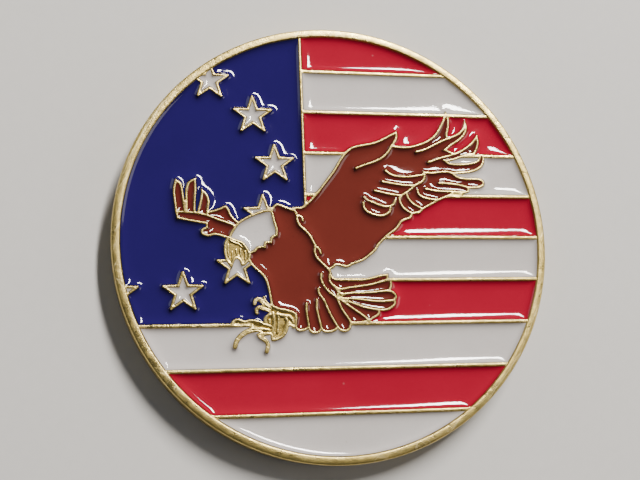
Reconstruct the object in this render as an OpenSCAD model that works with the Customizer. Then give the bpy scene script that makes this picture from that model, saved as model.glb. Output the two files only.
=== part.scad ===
// Challenge coin: a die-struck metal disc whose raised lines draw an eagle over a
// striped flag. Every recess between the lines holds its own pool of soft enamel.
// Millimetres. The coin lies on its back, +Z out of the front, +Y up the design.

/* [Coin] */
// Outside diameter
coin_d = 44.45; // [36:0.05:54]
// Thickness from rim to rim
coin_t = 3; // [2.2:0.1:5]
// Width of the front rim
rim_w = 0.85; // [0.5:0.05:2]
// Height of the front rim over the raised lines
rim_h = 0.12; // [0.05:0.01:0.4]
// Radius on the four outside corners of the rims
edge_r = 0.25; // [0.1:0.05:0.6]

/* [Enamel] */
// Depth of the recesses under the tops of the raised lines
recess = 0.45; // [0.3:0.05:0.8]
// How far the enamel stays under the tops of the raised lines
enamel_drop = 0.2; // [0.05:0.01:0.25]
// Width of the ledge between the enamel and the wall of the front rim
rim_ledge = 0.05; // [0.03:0.01:0.15]
// Narrowest gap between two lines that the die can cut
min_gap = 0.12; // [0.06:0.01:0.2]

/* [Raised lines] */
// Width of the lines between the stripes. This width, the others here and the stars are
// for a face of radius art_r, and scale with the face.
stripe_line = 0.4; // [0.25:0.05:0.6]
// Width of the line down the side of the canton
canton_line = 0.3; // [0.2:0.05:0.5]
// Width of the outlines and feather lines of the eagle
eagle_line = 0.28; // [0.2:0.02:0.4]
// Width of the outlines of the stars
star_line = 0.3; // [0.2:0.02:0.4]
// Depth of the lines engraved in the bare metal of the face and feet
groove = 0.1; // [0.05:0.01:0.2]
// Width of those lines
groove_w = 0.12; // [0.06:0.01:0.2]

/* [Stars] */
// Radius of a star, to the middle of its line
star_r = 1.95; // [1.4:0.05:2.35]
// Radius of its inner corners, as a share of the star's radius
star_waist = 0.4; // [0.34:0.01:0.46]

/* [Back] */
// Width of the back rim
back_rim_w = 1.3; // [0.6:0.05:3]
// Depth of the back field
back_recess = 0.3; // [0.15:0.05:0.5]
// Radius of the plain engraving panel
panel_r = 9.5; // [6:0.1:11]
// How far the panel and the wreath stay under the back rim
relief_drop = 0.08; // [0.04:0.01:0.12]
// Leaves on each branch of the wreath
leaf_count = 11; // [6:1:14]
// Length of a leaf
leaf_len = 4.2; // [3:0.1:5]
// Width of a leaf
leaf_w = 1.3; // [0.8:0.1:1.8]
// Width of the wreath's stems
stem_w = 0.3; // [0.2:0.05:0.6]

/* [Hidden] */
coin_r = coin_d / 2;
face_r = coin_r - rim_w;
// The artwork is drawn for a face of radius art_r. Its places, its line widths and its
// stars are all scaled to the face of this coin.
art_r = 21.375;
art = face_r / art_r;
line_top = coin_t - rim_h;
floor_z = line_top - recess;
enamel_t = recess - enamel_drop;
field_r = coin_r - back_rim_w;
wreath_r = (panel_r + field_r) / 2;
stripe_half = art * stripe_line / 2;
canton_half = art * canton_line / 2;
eagle_half = art * eagle_line / 2;
star_half = art * star_line / 2;
gap_half = art * min_gap / 2;
// Turn of each branch of the wreath, its foot's distance from the bottom, the lean of a
// leaf off the stem and how far off the stem it starts
branch_turn = 148;
branch_foot = 4;
leaf_lean = 30;
leaf_gap = 0.3;
overlap = 0.01;
reach = 40;
// Points that a curve gets for each of its own, and points in the round end of a line
steps = 2;
end_steps = 4;
// How far the mitred tip of a line may stand out from the middle of the line
tip = 2.2 * eagle_half;

// Ten stripes, seven of them beside the canton
stripe_count = 10;
canton_rows = 7;
stripe_pitch = 4.35 * art;
flag_y = 0.15 * art;
canton_x = -3.1 * art;

// Pools of the stripes: name, row from the top, and the X that the pool lies between.
// Where the wing cuts a stripe in two, each half is a pool.
stripes = [["01_red", 1, -reach, reach], ["02_white", 2, -reach, reach],
    ["03_red_left", 3, -reach, 12.2], ["03_red_right", 3, 12.2, reach],
    ["04_white_left", 4, -reach, 2], ["04_white_right", 4, 2, reach],
    ["05_red_left", 5, -reach, 0], ["05_red_right", 5, 0, reach],
    ["06_white", 6, -reach, reach], ["07_red", 7, -reach, reach],
    ["08_white", 8, -reach, reach], ["09_red", 9, -reach, reach],
    ["10_white", 10, -reach, reach]];

stars = [[-12.5, 16.25], [-8.2, 12.7], [-6.1, 7.65], [-7.4, 2.45], [-10.15, -2.8],
    [-15.4, -5.3], [-21.6, -5.35]];

// Feathers with a pool of their own: name and closed outline along the middle of the
// raised line. A point given twice is a corner. Later ones lie over earlier ones.
feathers = [
    ["left_wing_shoulder", [[-13.2, 2.4], [-12.7, 2.65], [-12.1, 2.8], [-11.5, 3.05],
        [-11.15, 3.2], [-10.9, 2.9], [-10.65, 2.3], [-10.1, 1.7], [-9.6, 1.4], [-10.4, 1.1],
        [-12, 1.8]]],
    ["left_wing_feather_1", [[-15.95, 5.8], [-15.95, 5.8], [-16.15, 5], [-16.1, 4], [-15.95, 2.65],
        [-15.95, 2.65], [-15.1, 2.6], [-15.1, 2.6], [-15.25, 3.6], [-15.35, 4.5],
        [-15.5, 5.4], [-15.75, 5.65]]],
    ["left_wing_feather_2", [[-14.12, 5.95], [-14.12, 5.95], [-14.7, 5.6], [-14.95, 4.8],
        [-14.95, 3.8], [-14.95, 2.6], [-14.95, 2.6], [-14.2, 2.5], [-14.2, 2.5],
        [-14.2, 3.6], [-14.08, 4.8]]],
    ["left_wing_feather_3", [[-13.4, 4.8], [-13.4, 4.8], [-13.45, 4.2], [-13.65, 3.3],
        [-13.85, 2.45], [-13.85, 2.45], [-12.95, 2.3], [-12.95, 2.3], [-12.9, 3.1],
        [-12.8, 3.7], [-13, 4.4]]],
    ["left_wing_arm", [[-15.95, 2.65], [-15.95, 2.65], [-14.8, 2.62], [-13.8, 2.52],
        [-12.9, 2.3], [-12, 1.93], [-10.4, 1.35], [-9.8, 0.6], [-10.9, 0.1], [-11.6, 0.32],
        [-12.3, 0.45], [-12.9, 0.3], [-13.45, 0.5], [-13.45, 0.85], [-13, 1.1], [-13, 1.1],
        [-13, 1.52], [-13, 1.52], [-14.2, 1.72], [-15.82, 2.05], [-15.82, 2.05]]],
    ["tail_feather_1", [[-0.85, -3.45], [-0.75, -3.85], [-0.3, -4.15], [1, -4.2],
        [2.4, -4.2], [3.4, -4.02], [4.2, -3.8], [5, -3.7], [5, -3.7], [5, -4.15],
        [5, -4.15], [4.2, -4.42], [3.2, -4.68], [2.2, -4.82], [1.2, -4.95], [0.3, -5.12],
        [-0.3, -4.95], [-0.95, -4.3]]],
    ["tail_feather_2", [[-0.1, -5.3], [0.3, -5.12], [1.2, -4.95], [2.2, -4.82],
        [3.2, -4.68], [4.2, -4.42], [5.3, -4.2], [5.3, -4.2], [5.32, -4.9], [5.05, -5.3],
        [5.05, -5.3], [3.8, -5.42], [2.4, -5.5], [1.1, -5.5], [0.3, -5.6]]],
    ["tail_feather_3", [[0.1, -5.85], [1.1, -5.5], [2.4, -5.5], [3.8, -5.42], [5.05, -5.3],
        [5.6, -5.55], [5.8, -5.95], [5.5, -6.28], [5.5, -6.28], [4.4, -6.38], [3.2, -6.3],
        [2, -6.12], [1, -6.05], [0.3, -6.1]]],
    ["tail_feather_4", [[0.3, -6.1], [1, -6.05], [2, -6.12], [3.2, -6.3], [4.4, -6.38],
        [5.5, -6.28], [5.65, -6.6], [5.3, -6.95], [4.8, -7.2], [4.1, -7.22], [3.2, -7.1],
        [2.2, -6.85], [1.2, -6.45]]],
    ["tail_feather_5", [[0.2, -6.25], [1.2, -6.45], [2.2, -6.85], [3.2, -7.1],
        [3.95, -7.25], [3.85, -7.7], [3.4, -7.95], [2.9, -8.25], [2.9, -8.25], [2.3, -7.75],
        [1.6, -7.25], [0.9, -6.75]]],
    ["tail_feather_6", [[-0.25, -5.95], [0.2, -6.25], [0.9, -6.75], [1.6, -7.25],
        [2.3, -7.75], [2.9, -8.3], [2.9, -8.3], [2, -8.45], [1.1, -8.45], [1.1, -8.45],
        [0.7, -7.85], [0.2, -7.1]]]];

// Leading edge, alula, flight feather tips and trailing edge. The rest is under the body.
wing = [[-4.6, 2.95], [-3.6, 3.1], [-3, 3.5], [-2, 4.5], [-1, 5.75], [0, 7.05], [0.6, 8.05],
    [1.2, 8.85], [1.9, 9.45], [2.9, 9.75], [4, 9.95], [5, 10.3], [6, 10.85], [6.72, 11.2],
    [6.72, 11.2], [6.72, 10.6], [6.15, 9.75], [6.15, 9.75], [7, 9.65], [8, 9.65], [9, 9.9],
    [10, 10.3], [10.9, 10.95], [11.5, 11.8], [12, 12.7], [12.25, 13.4], [12.25, 13.4],
    [12.48, 12.8], [12.38, 11.8], [12.2, 11.2], [12.2, 10.65], [12.2, 10.65], [13, 10.95],
    [13.7, 11.35], [14.15, 11.9], [14.3, 12.4], [14.3, 12.4], [14.4, 11.8], [14, 11.05],
    [13.3, 10.45], [12.6, 10.02], [11.9, 9.45], [11.9, 9.45], [12.9, 9.0], [12.9, 9.0],
    [13.7, 9.35], [14.4, 9.82], [15, 10.3], [15.5, 10.95], [15.5, 10.95], [15.6, 10.4],
    [15.4, 9.7], [15.1, 9.1], [15.1, 9.1], [14.3, 9.0], [13.4, 8.68], [12.6, 8.42],
    [11.85, 8.3], [11.85, 8.3], [12.3, 7.98], [13.2, 7.9], [14.2, 7.95], [15.1, 8.12],
    [15.6, 8.45], [15.75, 8.95], [15.75, 8.95], [16.05, 8.95], [16.05, 8.95], [16.05, 8.3],
    [15.7, 7.7], [15, 7.3], [14, 7.08], [13.2, 7.02], [12.6, 6.95], [12.6, 6.95], [13, 6.6],
    [13.6, 6.4], [14.5, 6.36], [15.3, 6.36], [15.85, 6.15], [15.85, 5.75], [15.4, 5.52],
    [14.8, 5.46], [14.15, 5.46], [14.15, 5.46], [14.2, 5.1], [13.8, 4.92], [12.8, 4.85],
    [11.8, 4.5], [11, 4.15], [10.3, 3.8], [9.6, 3.42], [9.1, 3.15], [8.75, 2.8], [8.3, 2.72],
    [7.95, 2.65], [7.95, 2.65], [7.7, 2.2], [7.1, 2.02], [6.7, 1.75], [6.4, 1.32], [6, 0.9],
    [5.55, 0.6], [5.2, 0.35], [4.7, -0.1], [4.2, -0.6], [3.9, -1.1], [3.3, -1.6], [2.7, -2.05],
    [2, -2.35], [1.4, -2.55], [0.9, -2.82], [0.3, -2.7], [-0.3, -2.6], [-0.9, -3.05],
    [-2.8, -2.6], [-4, -1], [-5, 1]];
// Trailing feathers of the right wing, laid over the wing
trailing = [[9.5, 7], [9.5, 7], [10.3, 6.95], [11.2, 7.05], [12, 7.12], [12.6, 6.95],
    [12.6, 6.95], [13, 6.6], [13.6, 6.4], [14.5, 6.36], [15.3, 6.36], [15.85, 6.15],
    [15.85, 5.75], [15.4, 5.52], [14.8, 5.46], [14.15, 5.46], [14.15, 5.46], [14.2, 5.1],
    [13.8, 4.92], [12.8, 4.85], [11.8, 4.5], [11, 4.15], [10.3, 3.8], [9.6, 3.42], [9.1, 3.15],
    [8.75, 2.8], [8.3, 2.72], [7.95, 2.65], [7.95, 2.65], [7.3, 3.05], [6.85, 3.6],
    [6.72, 4.2], [7, 4.55], [7.6, 4.95], [8.1, 5.3], [8.5, 5.65], [9.1, 5.95], [9.5, 6.4]];
// The body with the lower feathers of the tail
body = [[-6.9, 2.2], [-6.5, 2.95], [-6.2, 3.35], [-5.9, 3.45], [-5.3, 3.25], [-4.6, 2.95],
    [-4.2, 2.85], [-4.02, 2.4], [-4, 2], [-3.8, 1.4], [-3.2, 0.85], [-2.7, 0.25],
    [-2.45, -0.3], [-2.25, -0.75], [-2.35, -1.25], [-2.2, -1.8], [-1.9, -2.2], [-1.5, -2.6],
    [-1.1, -3], [-0.85, -3.45], [-0.95, -4.3], [-0.3, -5.1], [-0.1, -5.5], [-0.25, -5.95],
    [0.2, -7.1], [0.7, -7.85], [1, -8.4], [0.9, -9], [0.4, -9.28], [-0.1, -9.1], [-0.3, -8.85],
    [-0.3, -8.85], [-0.6, -9.15], [-1.2, -9.3], [-1.75, -9.22], [-1.95, -8.95],
    [-1.95, -8.95], [-2.2, -9.3], [-2.75, -9.38], [-3.1, -9.15], [-3.2, -8.85],
    [-3.2, -8.85], [-3.65, -9.08], [-4.2, -9.12], [-4.5, -8.8], [-4.45, -8.1], [-4.45, -7.6],
    [-4.8, -7.32], [-5.5, -7.12], [-6.2, -6.98], [-6.75, -6.7], [-6.9, -5.9], [-7.05, -5],
    [-7.25, -4.2], [-7.6, -3.6], [-8.2, -3.05], [-8.75, -2.45], [-9, -1.8], [-8.8, -1.2],
    [-7.6, 0.4]];
// The white feathers of the head, with the ragged edge of the neck
head = [[-10.8, 0.1], [-10.35, 0.95], [-9.9, 1.55], [-9.2, 2.02], [-8.4, 2.4], [-7.6, 2.7],
    [-6.9, 2.85], [-6.55, 2.72], [-6.42, 2.2], [-6.28, 1.6], [-6.1, 1], [-6.15, 0.35],
    [-6.15, 0.35], [-6.62, 0.12], [-6.72, -0.38], [-6.72, -0.38], [-7.25, -0.4],
    [-7.38, -0.85], [-7.38, -0.85], [-8.05, -0.9], [-8.35, -1.25], [-8.35, -1.25],
    [-8.9, -1.45], [-8.9, -1.45], [-9.15, -0.95], [-9.6, -0.42], [-10.2, -0.2]];
// The bare metal of the face and beak
beak = [[-10.8, 0.15], [-10.8, 0.15], [-10.2, -0.2], [-9.6, -0.42], [-9.15, -0.95],
    [-8.85, -1.5], [-8.85, -1.5], [-8.95, -2], [-9.3, -2.45], [-9.6, -2.6], [-9.75, -2.15],
    [-10.1, -1.9], [-10.45, -2.1], [-10.7, -2.75], [-10.7, -2.75], [-11.05, -2.2],
    [-11.25, -1.5], [-11.25, -0.8], [-11.1, -0.2]];

// Feather lines that end inside a pool
wing_lines = [
    [[6.15, 9.75], [5.7, 9.05], [5.1, 8.52], [4.4, 8.12], [3.4, 7.78], [2.3, 7.35]],
    [[12.2, 10.65], [11.4, 10.3], [10.6, 9.9], [9.7, 9.45], [8.8, 9.2]],
    [[12.9, 9], [11.8, 8.7], [10.9, 8.42], [10.05, 8.1]],
    [[9.5, 7], [9.5, 6.8], [8.6, 6.62], [7.6, 6.5], [6.6, 6.55], [5.85, 6.78], [5.4, 7.15]],
    [[8.4, 5.6], [7.2, 5.62], [6.1, 5.78], [5, 5.98]],
    [[7, 4.5], [6, 4.62], [5.1, 4.8], [4.15, 5]],
    [[6.3, 4.1], [6, 3.55], [5.4, 3.35], [4.7, 3.45], [4, 3.75], [3.35, 4], [3, 4.35]],
    [[5.7, 3.35], [5.65, 2.9], [5.2, 2.52], [4.6, 2.4], [3.9, 2.52], [3.3, 2.8], [2.95, 3.2],
        [2.9, 3.75]]];
trailing_lines = [
    [[14.15, 5.46], [13.2, 5.72], [12.1, 5.85], [11.1, 5.9]],
    [[13.8, 4.92], [12.4, 4.98], [11, 5.02], [9.6, 5.25]],
    [[10.9, 4.1], [10, 4.18], [9.2, 4.38], [8.78, 4.7], [8.7, 5.15]],
    [[9.1, 3.15], [8.5, 3.45], [8, 3.8], [7.62, 4.3], [7.5, 4.8]]];
body_lines = [
    [[-3.2, -8.85], [-3.3, -8], [-3.4, -7.2], [-3.35, -6.5]],
    [[-1.95, -8.95], [-2.2, -7.8], [-2.35, -6.9], [-2.3, -6.15]],
    [[-0.3, -8.85], [-0.85, -7.9], [-1.3, -6.9], [-1.6, -6.15], [-2.05, -5.55], [-2.1, -5.05]],
    [[-0.25, -5.95], [-1.05, -5.35], [-1.5, -4.8], [-1.8, -4.1], [-1.75, -3.55]],
    [[-4, 2.3], [-3.55, 2.25], [-3.45, 1.85]],
    [[-2.3, -0.8], [-1.9, -1], [-1.75, -1.5]]];
// The feet: bare metal along these lines, each with its width at the start and the end
toes = [
    [[[-6.8, -7], [-7.5, -6.5], [-8, -6.05], [-8.4, -6.12], [-8.5, -6.5]], [0.6, 0.4]],
    [[[-6.8, -7.2], [-7.6, -6.95], [-8.1, -6.85], [-8.35, -7.1], [-8.3, -7.4]], [0.55, 0.36]],
    [[[-7, -6.8], [-7.4, -6.3], [-7.55, -5.8]], [0.45, 0.22]],
    [[[-6.8, -7.4], [-7.3, -7.75], [-7.55, -8.1], [-7.5, -8.45]], [0.5, 0.25]],
    [[[-7.05, -7.8], [-7.1, -8.2], [-7.05, -8.6]], [0.5, 0.5]],
    [[[-6.55, -7.15], [-6.5, -8], [-6.6, -8.8], [-6.8, -9.75]], [0.95, 0.5]],
    [[[-6.6, -7.5], [-5.8, -7.7], [-5.05, -7.75], [-4.75, -8.2], [-4.7, -8.7]], [0.9, 0.55]],
    [[[-5.95, -7.9], [-5.95, -8.6], [-6.15, -9.5]], [0.6, 0.6]],
    [[[-5.35, -8], [-5.5, -9], [-5.95, -9.7], [-6.8, -9.98]], [0.55, 0.4]],
    [[[-6.8, -8.8], [-7.6, -8.55], [-8.3, -8.3], [-9, -8.2], [-9.6, -8.38]], [0.55, 0.45]],
    [[[-9.5, -8.35], [-10.1, -8.05], [-10.6, -8.15], [-10.8, -8.6]], [0.42, 0.24]],
    [[[-9.7, -8.4], [-10.2, -8.32], [-10.65, -8.45]], [0.36, 0.3]],
    [[[-6.8, -9.2], [-7.8, -9], [-8.7, -9], [-9.4, -9.22], [-10, -9.65], [-10.35, -10.1],
        [-10.5, -10.65]], [0.6, 0.44]],
    [[[-7, -9.3], [-7.7, -9.4], [-8.2, -9.5], [-7.8, -9.85], [-7.4, -10.2], [-7.3, -10.65],
        [-7.45, -11.15]], [0.5, 0.42]]];
// Lines engraved in the bare metal of the feet and face
grooves = [
    [[-6.95, -7.15], [-6.9, -8], [-7, -8.7]], [[-6.3, -7.3], [-6.2, -8.1], [-6.3, -9]],
    [[-5.9, -7.45], [-5.2, -7.5], [-4.8, -7.75]], [[-7.3, -8.8], [-8.2, -8.65], [-9.3, -8.75]],
    [[-10.75, -1.1], [-10.3, -1.3], [-9.8, -1.2], [-9.4, -0.95]],
    [[-10.85, -0.35], [-10.5, -0.45], [-10.3, -0.6], [-10.5, -0.8], [-10.8, -0.7]],
    [[-9.75, -1.5], [-9.5, -1.9], [-9.35, -2.2]], [[-10.95, -1.3], [-10.9, -1.9]]];

metal_color = [0.83, 0.7, 0.42];
blue = [0.1, 0.1, 0.4];
red = [0.7, 0.08, 0.13];
white = [0.85, 0.83, 0.8];
brown = [0.42, 0.13, 0.08];

// Height of the raised line under a row of the flag
function line_y(row) = flag_y + (stripe_count / 2 - row) * stripe_pitch;

// Catmull-Rom curve through p1 and p2, where p0 and p3 are their neighbours
function between(p0, p1, p2, p3, t) = 0.5 * (2 * p1 + (p2 - p0) * t
    + (2 * p0 - 5 * p1 + 4 * p2 - p3) * t * t + (3 * p1 - p0 - 3 * p2 + p3) * t * t * t);
function at(pts, i, closed) = let (n = len(pts))
    closed ? pts[(i + n) % n] : pts[max(0, min(n - 1, i))];
// Smooth curve through points of the artwork, with a corner at each point given twice
function curve(pts, closed) = [
    for (i = [0 : len(pts) - (closed ? 1 : 2)])
    if (at(pts, i, closed) != at(pts, i + 1, closed))
    for (k = [0 : steps - (closed || i < len(pts) - 2 ? 1 : 0)])
    art * between(at(pts, i - 1, closed), at(pts, i, closed), at(pts, i + 1, closed),
        at(pts, i + 2, closed), k / steps)];

module outline(pts) {
    polygon(curve(pts, true));
}

// Inside the line along a closed outline, which is where a pool can reach
module inside(pts) {
    offset(delta = -eagle_half) outline(pts);
}

// Out to the outer side of the line along a closed outline
module outside(pts) {
    intersection() {
        offset(delta = eagle_half) outline(pts);
        offset(r = tip, $fn = 16) outline(pts);
    }
}

// The direction that a line has at its point i
function heading(c, i) = let (d = c[min(i + 1, len(c) - 1)] - c[max(i - 1, 0)]) d / norm(d);
// Half a circle round a point, from the left of direction d to its right
function round_end(centre, r, d) = [for (k = [0 : end_steps])
    let (a = atan2(d[1], d[0]) + 90 - 180 * k / end_steps) centre + r * [cos(a), sin(a)]];

// A line with round ends that tapers from width[0] to width[1] of the artwork
module stroke(pts, width) {
    c = curve(pts, false);
    w = art * width;
    n = len(c) - 1;
    side = [for (i = [0 : n]) let (d = heading(c, i))
        (w[0] + (w[1] - w[0]) * i / n) / 2 * [-d[1], d[0]]];
    for (i = [0 : n - 1])
        polygon([c[i] + side[i], c[i + 1] + side[i + 1], c[i + 1] - side[i + 1], c[i] - side[i]]);
    polygon(round_end(c[0], w[0] / 2, -heading(c, 0)));
    polygon(round_end(c[n], w[1] / 2, heading(c, n)));
}

module lines(list) {
    for (l = list) stroke(l, [eagle_line, eagle_line]);
}

module feet() {
    for (t = toes) stroke(t[0], t[1]);
}

module star_at(centre) {
    translate(art * centre) polygon([for (i = [0 : 9])
        (i % 2 == 0 ? 1 : star_waist) * art * star_r * [sin(36 * i), cos(36 * i)]]);
}

// Everything that stands in front of the flag, out to the outer side of its line
module eagle() {
    outside(wing);
    outside(body);
    outside(head);
    outside(beak);
    for (f = feathers) outside(f[1]);
    feet();
}

// The shape given, inside the rim's ledge
module on_face() {
    intersection() {
        circle(r = face_r - rim_ledge, $fn = 180);
        children();
    }
}

// A pool seen from above: the shape given, without what is too narrow for the die
module pool() {
    offset(delta = 0) intersection() {
        on_face() children();
        offset(delta = gap_half) offset(delta = -gap_half) on_face() children();
    }
}

module canton_pool() {
    side = canton_x - canton_half;
    base = line_y(canton_rows) + stripe_half;
    pool() difference() {
        translate([-reach, base]) square([reach + side, reach - base]);
        for (s = stars) offset(r = star_half, $fn = 16) star_at(s);
        eagle();
    }
}

module stripe_pool(s) {
    row = s[1];
    top = row == 1 ? reach : line_y(row - 1) - stripe_half;
    base = row == stripe_count ? -reach : line_y(row) + stripe_half;
    side = row <= canton_rows ? canton_x + canton_half : -reach;
    left = max(side, art * s[2]);
    pool() difference() {
        translate([left, base]) square([art * s[3] - left, top - base]);
        eagle();
    }
}

module star_pool(centre) {
    pool() difference() {
        offset(delta = -star_half) star_at(centre);
        eagle();
    }
}

module wing_pool() {
    pool() difference() {
        inside(wing);
        outside(trailing);
        outside(body);
        lines(wing_lines);
        lines(body_lines);
    }
}

module trailing_pool() {
    pool() difference() {
        inside(trailing);
        lines(trailing_lines);
    }
}

module body_pool() {
    pool() difference() {
        inside(body);
        outside(head);
        outside(beak);
        for (f = feathers) outside(f[1]);
        lines(body_lines);
        feet();
    }
}

module head_pool() {
    pool() inside(head);
}

module feather_pool(i) {
    pool() difference() {
        inside(feathers[i][1]);
        for (k = [i + 1 : 1 : len(feathers) - 1]) outside(feathers[k][1]);
        outside(head);
        outside(beak);
    }
}

// A quarter of a circle of radius edge_r, from angle a to angle a + 90
function rounded(centre, a) = [for (k = [0 : 4])
    centre + edge_r * [cos(a + 22.5 * k), sin(a + 22.5 * k)]];

module blank() {
    rotate_extrude($fn = 240) polygon(concat(
        [[0, back_recess], [field_r, back_recess], [field_r, 0]],
        rounded([coin_r - edge_r, edge_r], 270),
        rounded([coin_r - edge_r, coin_t - edge_r], 0),
        [[face_r, coin_t], [face_r, line_top], [0, line_top]]));
}

// Two equal arcs that meet in the points of the leaf
module leaf() {
    r = (leaf_len * leaf_len + leaf_w * leaf_w) / (4 * leaf_w);
    intersection() {
        translate([leaf_len / 2, r - leaf_w / 2]) circle(r = r, $fn = 120);
        translate([leaf_len / 2, leaf_w / 2 - r]) circle(r = r, $fn = 120);
    }
}

// One branch of the wreath, from the foot of the back up to its open top
module branch(height) {
    step = branch_turn / leaf_count;
    for (i = [1 : leaf_count], side = [-1, 1])
        rotate(step * i - 90) translate([wreath_r + side * leaf_gap, 0])
            rotate(90 - side * leaf_lean) linear_extrude(height) leaf();
    rotate(branch_foot - 90) rotate_extrude(angle = branch_turn, $fn = 240)
        translate([wreath_r - stem_w / 2, 0]) square([stem_w, height]);
}

module back_relief() {
    height = back_recess - relief_drop + overlap;
    translate([0, 0, relief_drop]) {
        cylinder(r = panel_r, h = height, $fn = 240);
        for (flip = [0, 1]) mirror([flip, 0, 0]) branch(height);
    }
}

module recesses() {
    translate([0, 0, floor_z]) linear_extrude(recess + overlap) {
        canton_pool();
        for (s = stripes) stripe_pool(s);
        for (c = stars) star_pool(c);
        wing_pool();
        trailing_pool();
        body_pool();
        head_pool();
        for (i = [0 : len(feathers) - 1]) feather_pool(i);
    }
}

module engraving() {
    translate([0, 0, line_top - groove]) linear_extrude(groove + overlap)
        offset(delta = 0) for (g = grooves) stroke(g, [groove_w, groove_w]);
}

module coin_body() {
    color(metal_color) difference() {
        union() {
            blank();
            back_relief();
        }
        recesses();
        engraving();
    }
}

// The cured enamel in the pool given
module enamel(shade) {
    color(shade) translate([0, 0, floor_z]) linear_extrude(enamel_t) children();
}

module enamel_canton_blue() {
    enamel(blue) canton_pool();
}

module enamel_stripe(s) {
    enamel(s[1] % 2 == 1 ? red : white) stripe_pool(s);
}

module enamel_star(centre) {
    enamel(white) star_pool(centre);
}

module enamel_wing() {
    enamel(brown) wing_pool();
}

module enamel_wing_trailing() {
    enamel(brown) trailing_pool();
}

module enamel_body() {
    enamel(brown) body_pool();
}

module enamel_head() {
    enamel(white) head_pool();
}

module enamel_feather(i) {
    enamel(brown) feather_pool(i);
}

coin_body();
enamel_canton_blue();
for (s = stripes)
    enamel_stripe(s);
for (i = [0 : len(stars) - 1])
    enamel_star(stars[i]);
enamel_wing();
enamel_wing_trailing();
enamel_body();
enamel_head();
for (i = [0 : len(feathers) - 1])
    enamel_feather(i);
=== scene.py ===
import math
import bpy
import numpy as np
from mathutils import Matrix, Vector
from mathutils.geometry import delaunay_2d_cdt


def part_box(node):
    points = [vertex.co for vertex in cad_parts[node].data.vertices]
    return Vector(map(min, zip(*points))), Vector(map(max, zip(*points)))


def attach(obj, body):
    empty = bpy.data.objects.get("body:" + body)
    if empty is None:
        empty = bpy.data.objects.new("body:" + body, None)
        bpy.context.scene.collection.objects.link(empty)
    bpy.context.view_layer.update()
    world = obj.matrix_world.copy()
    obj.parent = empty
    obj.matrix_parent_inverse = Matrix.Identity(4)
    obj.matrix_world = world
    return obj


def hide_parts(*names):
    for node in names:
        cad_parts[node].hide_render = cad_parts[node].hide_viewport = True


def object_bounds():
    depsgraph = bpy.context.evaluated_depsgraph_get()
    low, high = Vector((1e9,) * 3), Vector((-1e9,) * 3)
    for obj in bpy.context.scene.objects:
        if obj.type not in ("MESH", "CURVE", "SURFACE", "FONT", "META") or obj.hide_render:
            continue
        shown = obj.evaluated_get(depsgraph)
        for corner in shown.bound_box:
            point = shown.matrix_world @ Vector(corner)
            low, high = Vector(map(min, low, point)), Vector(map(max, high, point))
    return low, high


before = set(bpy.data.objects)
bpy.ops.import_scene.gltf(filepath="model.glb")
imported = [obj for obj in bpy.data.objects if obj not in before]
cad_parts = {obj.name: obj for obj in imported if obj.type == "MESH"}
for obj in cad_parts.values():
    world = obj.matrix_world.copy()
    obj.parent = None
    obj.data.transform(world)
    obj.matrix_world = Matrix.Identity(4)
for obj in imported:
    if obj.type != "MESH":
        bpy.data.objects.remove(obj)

mm = 0.001
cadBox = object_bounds()

# heights and radii of the struck coin, in millimetres; the outside comes from the frame
coin = {
    "radius": min(abs(side) for corner in cadBox for side in tuple(corner)[:2]) / mm,
    "thickness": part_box("coin_body")[1].z / mm,
    "rimWidth": 0.85,
    "lineTop": 2.88,      # tops of the raised lines
    "floor": 2.43,        # bottom of the recesses
    "backRimWidth": 1.3,
    "backField": 0.3,     # height of the field inside the back rim
}
faceRadius = coin["radius"] - coin["rimWidth"]
backFieldRadius = coin["radius"] - coin["backRimWidth"]


# Puts arrays into a mesh: points in millimetres (n, 3), faces as a list of arrays that
# each hold triangles or quads. Each attribute is one number for each point.
def addMesh(name, points, faces, material, attributes=None):
    mesh = bpy.data.meshes.new(name)
    faces = [f for f in faces if len(f)]
    corners = np.concatenate([f.ravel() for f in faces]).astype(np.int32)
    sizes = np.concatenate([np.full(len(f), f.shape[1]) for f in faces])
    starts = (np.cumsum(sizes) - sizes).astype(np.int32)
    mesh.vertices.add(len(points))
    mesh.vertices.foreach_set("co", (np.asarray(points) * mm).astype(np.float32).ravel())
    mesh.loops.add(len(corners))
    mesh.loops.foreach_set("vertex_index", corners)
    mesh.polygons.add(len(sizes))
    mesh.polygons.foreach_set("loop_start", starts)
    mesh.update(calc_edges=True)
    mesh.validate()
    mesh.polygons.foreach_set("use_smooth", np.ones(len(mesh.polygons), bool))
    for key, values in (attributes or {}).items():
        layer = mesh.attributes.new(key, "FLOAT", "POINT")
        layer.data.foreach_set("value", np.asarray(values, np.float32))
    piece = bpy.data.objects.new(name, mesh)
    bpy.context.collection.objects.link(piece)
    mesh.materials.append(material)
    return piece


# Edges that turn by more than this stay sharp, the others are shaded smooth.
def sharpenEdges(piece, degrees):
    piece.data.set_sharp_from_angle(angle=math.radians(degrees))


def unit(v):
    return v / np.maximum(np.linalg.norm(v, axis=-1, keepdims=True), 1e-12)


def smoothStep(low, high, x):
    t = np.clip((x - low) / (high - low), 0, 1)
    return t * t * (3 - 2 * t)


# Quads of a grid of rows by columns points; wrap joins the last row to the first.
def gridFaces(rows, columns, wrap=False):
    r = np.arange(rows if wrap else rows - 1)
    c = np.arange(columns - 1)
    a = r[:, None] * columns + c
    b = ((r + 1) % rows)[:, None] * columns + c
    return np.stack([a, b, b + 1, a + 1], -1).reshape(-1, 4)


outlineLook = {
    "sharpCorner": 52,   # a turn above this many degrees stays a corner
    "softCorner": 2,     # a turn under this many degrees is left alone
    "cutLength": 0.16,   # the most that is cut off each side of a soft corner
    "spacing": 0.2,      # the most between two points along an outline
    "rounds": 3,         # how many times the corners are cut
}


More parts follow.
